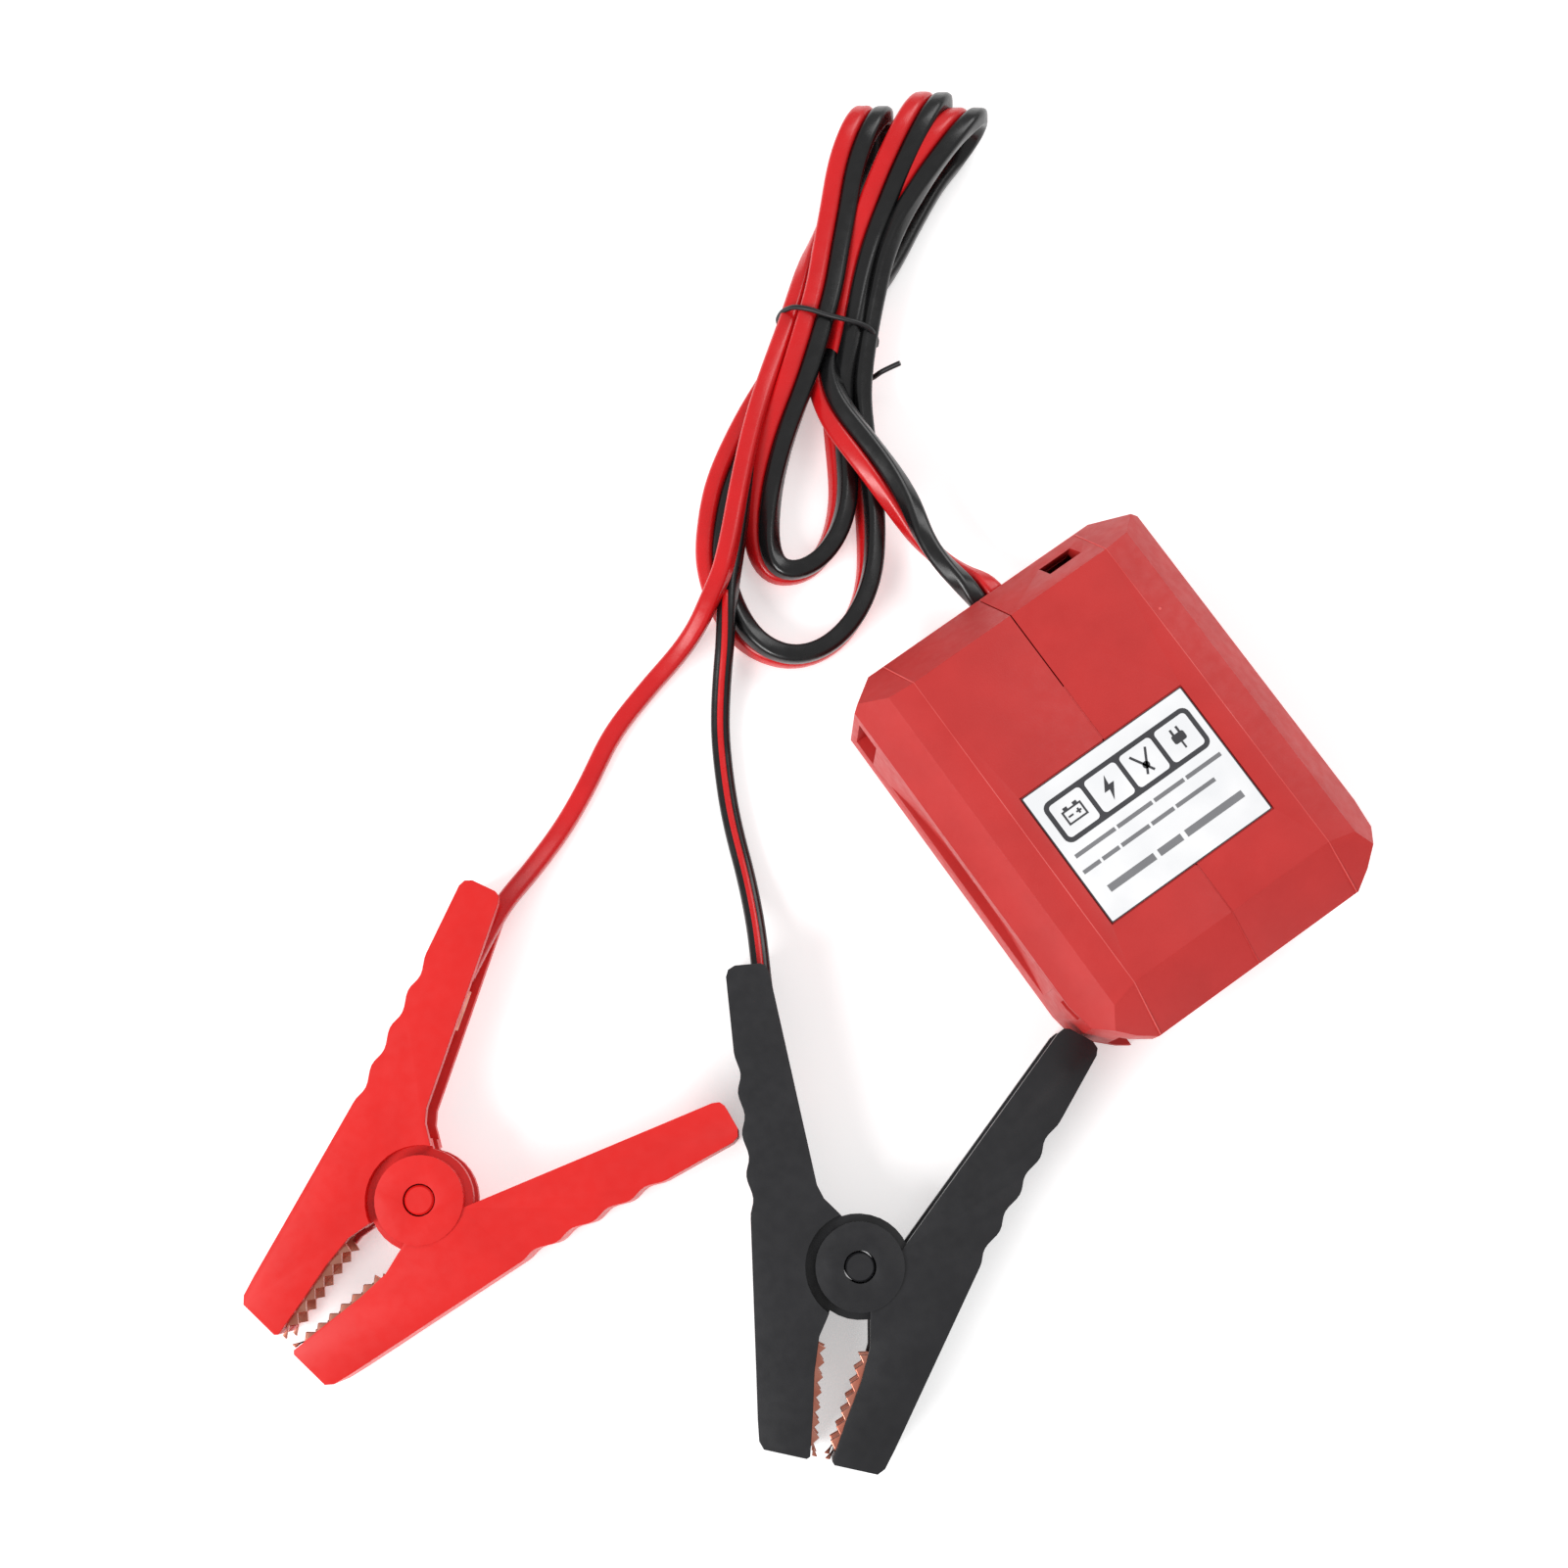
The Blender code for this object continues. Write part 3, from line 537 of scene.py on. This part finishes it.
def make_materials():
    return {
        "housing_red": plastic(
            "housing_red", linear(195, 42, 39), linear(188, 38, 35), 0.52, 2600.0, 0.06
        ),
        # lighter red for the mould lines and the gate mark: a painted highlight, not a colour of the
        # plastic
        "mould_mark_highlight": plastic("mould_mark_highlight", linear(226, 96, 92), linear(214, 70, 66), 0.4, 2600.0, 0.01),
        "clamp_red": plastic(
            "clamp_red", linear(226, 29, 25), linear(220, 26, 22), 0.4, 1500.0, 0.012
        ),
        "clamp_black": plastic(
            "clamp_black", linear(30, 30, 33), linear(24, 24, 27), 0.42, 2400.0, 0.03
        ),
        "cable_red": plastic(
            "cable_red", linear(212, 24, 28), linear(203, 21, 25), 0.27, 900.0, 0.02
        ),
        "cable_black": plastic(
            "cable_black", linear(20, 20, 21), linear(15, 15, 16), 0.27, 900.0, 0.02
        ),
        "black_plastic": plastic(
            "black_plastic", linear(28, 28, 30), linear(22, 22, 24), 0.45, 2000.0, 0.03
        ),
        "copper": metal("copper", linear(222, 150, 130), linear(196, 118, 98), 0.28, 1800.0),
        "steel": metal("steel", linear(190, 190, 192), linear(170, 170, 173), 0.3, 1800.0),
        "brass": metal("brass", linear(205, 170, 95), linear(188, 150, 80), 0.3, 1800.0),
        "label_face": plastic(
            "label_face", linear(246, 246, 247), linear(236, 237, 239), 0.36, 1200.0, 0.006
        ),
        "label_grey": plastic(
            "label_grey", linear(128, 128, 131), linear(118, 118, 121), 0.45, 1200.0, 0.004
        ),
        "label_ink": plastic(
            "label_ink", linear(62, 62, 66), linear(54, 54, 58), 0.5, 1200.0, 0.004
        ),
    }


# ---------------------------------------------------------------- pieces


def finish_piece(obj, material, body, slot, *nodes):
    obj.data.materials.clear()
    obj.data.materials.append(material)
    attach(obj, body)
    if nodes:
        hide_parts(*nodes)
    return obj


def rounded_copy(nodes, node, width, least_angle, segments=3):
    """The part's own shape, its edges sharper than least_angle rounded by width millimetres."""
    mesh = nodes[node].data.copy()
    obj = bpy.data.objects.new(node + "_finish", mesh)
    bpy.context.scene.collection.objects.link(obj)
    bm = bmesh.new()
    bm.from_mesh(mesh)
    bmesh.ops.remove_doubles(bm, verts=bm.verts, dist=MERGE_WITHIN)
    flat = math.radians(FLAT_WITHIN)
    bmesh.ops.dissolve_limit(bm, angle_limit=flat, verts=bm.verts, edges=bm.edges)
    bm.to_mesh(mesh)
    bm.free()
    mesh.shade_smooth()
    bevel = obj.modifiers.new("rounded edges", "BEVEL")
    bevel.width = width * MM
    bevel.segments = segments
    bevel.limit_method = "ANGLE"
    bevel.angle_limit = math.radians(least_angle)
    bevel.miter_outer = "MITER_ARC"
    bevel.harden_normals = True
    return obj


def add_cords(materials):
    outline = rounded_square(CORE_WIDTH, CORE_CORNER, 4)
    cores = core_paths()
    for name, (path, _) in cores.items():
        cord = sweep("cable_" + name + "_core", path, outline)
        replaced = ["cable_tail_" + name, name + "_lead"]
        if name == "red":
            replaced.append("cable_hank")
        finish_piece(cord, materials["cable_" + name], "pack", "cable_" + name, *replaced)
    path, split = cores["black"]
    add_tear_stripe(path[split + STRIPE_START :], materials)


def wire(name, points, width, step):
    """A round wire on a smooth curve through points, given in millimetres."""
    obj = polyline(name, smooth_points([tuple(p) for p in points], step), width)
    obj.data.bevel_resolution = 3
    return obj


def polyline(name, points, width):
    """A thin round thread through points, in millimetres, with straight runs between them."""
    curve = bpy.data.curves.new(name, "CURVE")
    curve.dimensions = "3D"
    curve.bevel_depth = width / 2 * MM
    curve.bevel_resolution = 1
    curve.use_fill_caps = True
    spline = curve.splines.new("POLY")
    spline.points.add(len(points) - 1)
    for point, place in zip(spline.points, points):
        point.co = (*(Vector(place) * MM), 1.0)
    obj = bpy.data.objects.new(name, curve)
    bpy.context.scene.collection.objects.link(obj)
    return obj


def add_tie(materials):
    tie = wire("tie_wire", [from_tie(*point) for point in TIE_ROUTE], TIE_WIRE, TIE_STEP)
    finish_piece(tie, materials["black_plastic"], "pack", "black_plastic", "twist_tie")


def add_tear_stripe(lead, materials):
    """The strip of red sheath left along the black lead where the pair was pulled apart."""
    half = STRIPE_WIDTH / 2
    top = CORE_WIDTH / 2
    edge, back = (half - inward for inward in STRIPE_ROUNDING)
    outline = [
        (-top + STRIPE_SUNK, -half),
        (-top + STRIPE_SUNK, half),
        (-top - STRIPE_EDGE_PROUD, edge),
        (-top - STRIPE_PROUD, back),
        (-top - STRIPE_PROUD, -back),
        (-top - STRIPE_EDGE_PROUD, -edge),
    ]
    stripe = sweep("tear_stripe", lead, outline)
    finish_piece(stripe, materials["cable_red"], "pack", "cable_red")


def add_springs(nodes, materials):
    """The torsion springs, copied in steel where they sit between the two grips, one leg in each."""
    for colour in ("red", "black"):
        node = colour + "_torsion_spring"
        spring = bpy.data.objects.new(colour + "_spring_coil", nodes[node].data.copy())
        bpy.context.scene.collection.objects.link(spring)
        spring.data.shade_smooth()
        spring.data.materials.clear()
        spring.data.materials.append(materials["steel"])
        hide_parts(node)
        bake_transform(spring)


# ---------------------------------------------------------------- label, and mould marks with painted highlights


def outline_disc(centre, radius, sides=24):
    angles = [2 * math.pi * k / sides for k in range(sides)]
    return [(centre[0] + radius * math.cos(a), centre[1] + radius * math.sin(a)) for a in angles]


def outline_box(low, high, corner=0.0, steps=5):
    """A rectangle from low to high, with round corners."""
    if corner == 0:
        return [low, (high[0], low[1]), high, (low[0], high[1])]
    centres = [
        (high[0] - corner, high[1] - corner),
        (low[0] + corner, high[1] - corner),
        (low[0] + corner, low[1] + corner),
        (high[0] - corner, low[1] + corner),
    ]
    outline = []
    for quarter, (x, y) in enumerate(centres):
        for k in range(steps + 1):
            angle = (quarter + k / steps) * math.pi / 2
            outline.append((x + corner * math.cos(angle), y + corner * math.sin(angle)))
    return outline


def outline_line(start, end, width):
    along = (Vector(end) - Vector(start)).normalized() * width / 2
    across = Vector((-along.y, along.x))
    corners = [Vector(start) - across, Vector(end) - across, Vector(end) + across, Vector(start) + across]
    return [tuple(corner) for corner in corners]


def printed(name, outlines, level, materials, look):
    """Flat shapes on the label, each a thin slab whose face is level printed layers up."""
    bm = bmesh.new()
    top = LABEL_TOP + PRINT_LAYER * level
    for outline in outlines:
        rings = []
        for z in (LABEL_TOP - PRINT_SUNK, top):
            centre = Vector((*LABEL_AT, z))
            rings.append([bm.verts.new((HOUSING_AT + centre + Vector((x, y, 0))) * MM) for x, y in outline])
        bm.faces.new(rings[1])
        bm.faces.new(rings[0])
        for k in range(len(outline)):
            n = (k + 1) % len(outline)
            bm.faces.new((rings[0][k], rings[0][n], rings[1][n], rings[1][k]))
    obj = mesh_object(name, bm)
    for polygon in obj.data.polygons:
        polygon.use_smooth = False
    return finish_piece(obj, materials[look], "pack", "label")


def bolt_symbol(x, y):
    shape = [(0.5, 2.7), (-1.5, -0.4), (-0.2, -0.4), (-0.7, -2.7), (1.5, 0.6), (0.2, 0.6)]
    return [[(x + dx, y + dy) for dx, dy in shape]]


def battery_symbol(x, y):
    return [
        outline_box((x - 2.4, y - 1.8), (x + 2.4, y - 1.4)),
        outline_box((x - 2.4, y + 1.0), (x + 2.4, y + 1.4)),
        outline_box((x - 2.4, y - 1.4), (x - 2.0, y + 1.0)),
        outline_box((x + 2.0, y - 1.4), (x + 2.4, y + 1.0)),
        outline_box((x - 1.7, y + 1.4), (x - 0.7, y + 2.0)),
        outline_box((x + 0.7, y + 1.4), (x + 1.7, y + 2.0)),
        outline_box((x - 1.6, y - 0.4), (x - 0.4, y)),
        outline_box((x + 0.4, y - 0.4), (x + 1.6, y)),
        outline_box((x + 0.8, y - 0.8), (x + 1.2, y - 0.4)),
        outline_box((x + 0.8, y), (x + 1.2, y + 0.4)),
    ]


def clamp_symbol(x, y):
    return [
        outline_line((x - 2.0, y + 2.6), (x + 0.9, y - 2.4), 0.5),
        outline_line((x + 2.0, y + 2.6), (x - 0.9, y - 2.4), 0.5),
        outline_disc((x, y - 0.6), 0.8),
    ]


def plug_symbol(x, y):
    return [
        outline_box((x - 1.5, y - 0.9), (x + 1.5, y + 1.1), 0.5),
        outline_box((x - 1.0, y + 1.1), (x - 0.5, y + 2.4)),
        outline_box((x + 0.5, y + 1.1), (x + 1.0, y + 2.4)),
        outline_box((x - 0.2, y - 2.5), (x + 0.2, y - 0.9)),
    ]


def words(first, last, y, height, lengths):
    """A line of plain bars that stand for words of the given lengths."""
    gap = height * WORD_GAP
    scale = (last - first - gap * (len(lengths) - 1)) / sum(lengths)
    bars = []
    x = first
    for length in lengths:
        bars.append(outline_box((x, y - height / 2), (x + length * scale, y + height / 2)))
        x += length * scale + gap
    return bars


def add_label(materials):
    """A silver label: four generic pictograms in a dark frame over three lines of plain bars."""
    half = Vector(LABEL_SIZE) / 2
    rim = LABEL_RIM
    whole = outline_box(tuple(-half), tuple(half), LABEL_CORNER)
    face = outline_box((rim - half.x, rim - half.y), (half.x - rim, half.y - rim), FACE_CORNER)
    edge = printed("label_edge", [whole], 1, materials, "label_ink")
    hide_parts("label")
    printed("label_face", [face], 2, materials, "label_face")
    frame = outline_box(*PRINT_FRAME, FRAME_CORNER)
    printed("label_frame", [frame], 3, materials, "label_ink")
    (left, low), (right, high) = PRINT_FRAME
    tile = (right - left - 5 * TILE_GAP) / 4
    lefts = [left + TILE_GAP + k * (tile + TILE_GAP) for k in range(4)]
    tiles = [outline_box((x, low + TILE_GAP), (x + tile, high - TILE_GAP), TILE_CORNER) for x in lefts]
    centres = [(x + tile / 2, (low + high) / 2) for x in lefts]
    printed("label_tiles", tiles, 4, materials, "label_face")
    symbols = []
    for symbol, (x, y) in zip((battery_symbol, bolt_symbol, clamp_symbol, plug_symbol), centres):
        symbols += symbol(x, y)
    printed("label_symbols", symbols, 5, materials, "label_ink")
    lines = [bar for line in LABEL_LINES for bar in words(*line)]
    printed("label_lines", lines, 3, materials, "label_grey")


def add_mould_marks_and_highlights(materials):
    """The fine mould lines along the housing's creases and the small gate mark, in a lighter red that is a
    painted highlight on them.
    """
    for side, name in ((-1, "left"), (1, "right")):
        ends = (0, len(MOULD_LINE) - 1)
        splays = [MOULD_LINE_SPLAY if k in ends else 0.0 for k in range(len(MOULD_LINE))]
        points = [
            from_housing(side * (MOULD_LINE_X + splay), y, z)
            for splay, (y, z) in zip(splays, MOULD_LINE)
        ]
        # the crease's mould line, drawn lighter as a painted highlight
        line = polyline("mould_line_highlight_" + name, points, MOULD_LINE_HIGHLIGHT_WIDTH)
        finish_piece(line, materials["mould_mark_highlight"], "pack", "housing_red")
    for index, stretch in enumerate(TIGHT_SEAM):
        places = [from_housing(0.0, y, z) for y, z in stretch]
        seam = polyline(f"tight_seam_{index + 1}", places, SEAM_WIDTH)
        finish_piece(seam, materials["housing_red"], "pack", "housing_red")
    foot = from_housing(*GATE_AT)
    # the gate mark takes the same painted-highlight red
    gate = polyline("gate_mark", [foot, foot + Vector((0, 0, GATE_RISE))], GATE_WIDTH)
    finish_piece(gate, materials["mould_mark_highlight"], "pack", "housing_red")


# ---------------------------------------------------------------- stage


def add_stage():
    bpy.ops.mesh.primitive_plane_add(size=FLOOR_SIZE, location=(0, 0, -FLOOR_BELOW))
    floor = bpy.context.object
    floor.name = "floor"
    material, nodes, links, shader = new_material("floor_white")
    soft = noise(nodes, links, 2.0)
    tint = ramp(nodes, links, soft.outputs["Fac"], grey(FLOOR_GREYS[0]), grey(FLOOR_GREYS[1]))
    links.new(tint, shader.inputs["Base Color"])
    shader.inputs["Roughness"].default_value = FLOOR_ROUGHNESS
    shader.inputs["Emission Color"].default_value = grey(1.0)
    shader.inputs["Emission Strength"].default_value = FLOOR_GLOW
    floor.data.materials.append(material)


def add_light(name, location, size, power):
    """A square light that faces the middle of the scene."""
    data = bpy.data.lights.new(name, "AREA")
    data.shape = "SQUARE"
    data.size = size
    data.energy = power
    light = bpy.data.objects.new(name, data)
    bpy.context.scene.collection.objects.link(light)
    light.location = location
    light.rotation_euler = (-Vector(location)).to_track_quat("-Z", "Y").to_euler()


def add_lights():
    bpy.context.scene.view_settings.view_transform = "Standard"
    world = bpy.data.worlds.new("studio")
    bpy.context.scene.world = world
    world.use_nodes = True
    background = world.node_tree.nodes["Background"]
    background.inputs["Color"].default_value = grey(1.0)
    background.inputs["Strength"].default_value = SKY_STRENGTH
    for light in LIGHTS:
        add_light(*light)


def add_camera():
    data = bpy.data.cameras.new("camera")
    data.sensor_width = SENSOR_WIDTH
    data.lens = CAMERA_LENS
    data.clip_start = 0.01
    camera = bpy.data.objects.new("camera", data)
    bpy.context.scene.collection.objects.link(camera)
    right = Vector(CAMERA_RIGHT).normalized()
    back = Vector(CAMERA_BACK).normalized()
    up = back.cross(right)
    rotation = Matrix((right, up, back)).transposed()
    place = (HOUSING_AT + Vector(CAMERA_FROM_HOUSING)) * MM
    camera.matrix_world = Matrix.Translation(place) @ rotation.to_4x4()
    bpy.context.scene.camera = camera


ROUNDED = {
    # node: (edge radius in millimetres, least angle rounded, material, body)
    "housing_left_shell": (0.6, 7, "housing_red", "pack"),
    "housing_right_shell": (0.6, 7, "housing_red", "pack"),
    "red_fixed_grip": (0.6, 32, "clamp_red", "pack"),
    "red_moving_grip": (0.6, 32, "clamp_red", "red_moving"),
    "black_fixed_grip": (0.6, 32, "clamp_black", "pack"),
    "black_moving_grip": (0.6, 32, "clamp_black", "black_moving"),
    "red_fixed_jaw": (0.2, 32, "copper", "pack"),
    "red_moving_jaw": (0.2, 32, "copper", "red_moving"),
    "black_fixed_jaw": (0.2, 32, "copper", "pack"),
    "black_moving_jaw": (0.2, 32, "copper", "black_moving"),
}
KEPT = {
    # node: material
    "terminal_block": "black_plastic",
    "terminal_blade_positive": "brass",
    "terminal_blade_negative": "brass",
    "cable_bushing": "black_plastic",
    "strain_relief_bar": "black_plastic",
    "strain_screw_left": "steel",
    "strain_screw_right": "steel",
    "shell_screw_1": "steel",
    "shell_screw_2": "steel",
    "inner_red_wire": "cable_red",
    "inner_black_wire": "cable_black",
    "red_pivot_pin": "clamp_red",
    "black_pivot_pin": "clamp_black",
    "red_lead_lug": "copper",
    "black_lead_lug": "copper",
}


def finish_nodes(nodes, materials):
    for node, (width, least_angle, look, body) in ROUNDED.items():
        piece = rounded_copy(nodes, node, width, least_angle)
        finish_piece(piece, materials[look], body, look, node)
    for node, look in KEPT.items():
        data = nodes[node].data
        data.materials.clear()
        data.materials.append(materials[look])


def main():
    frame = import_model()
    nodes = frame["nodes"]
    add_camera()
    add_stage()
    add_lights()
    materials = make_materials()
    add_cords(materials)
    add_tie(materials)
    add_springs(nodes, materials)
    add_label(materials)
    add_mould_marks_and_highlights(materials)
    finish_nodes(nodes, materials)


main()
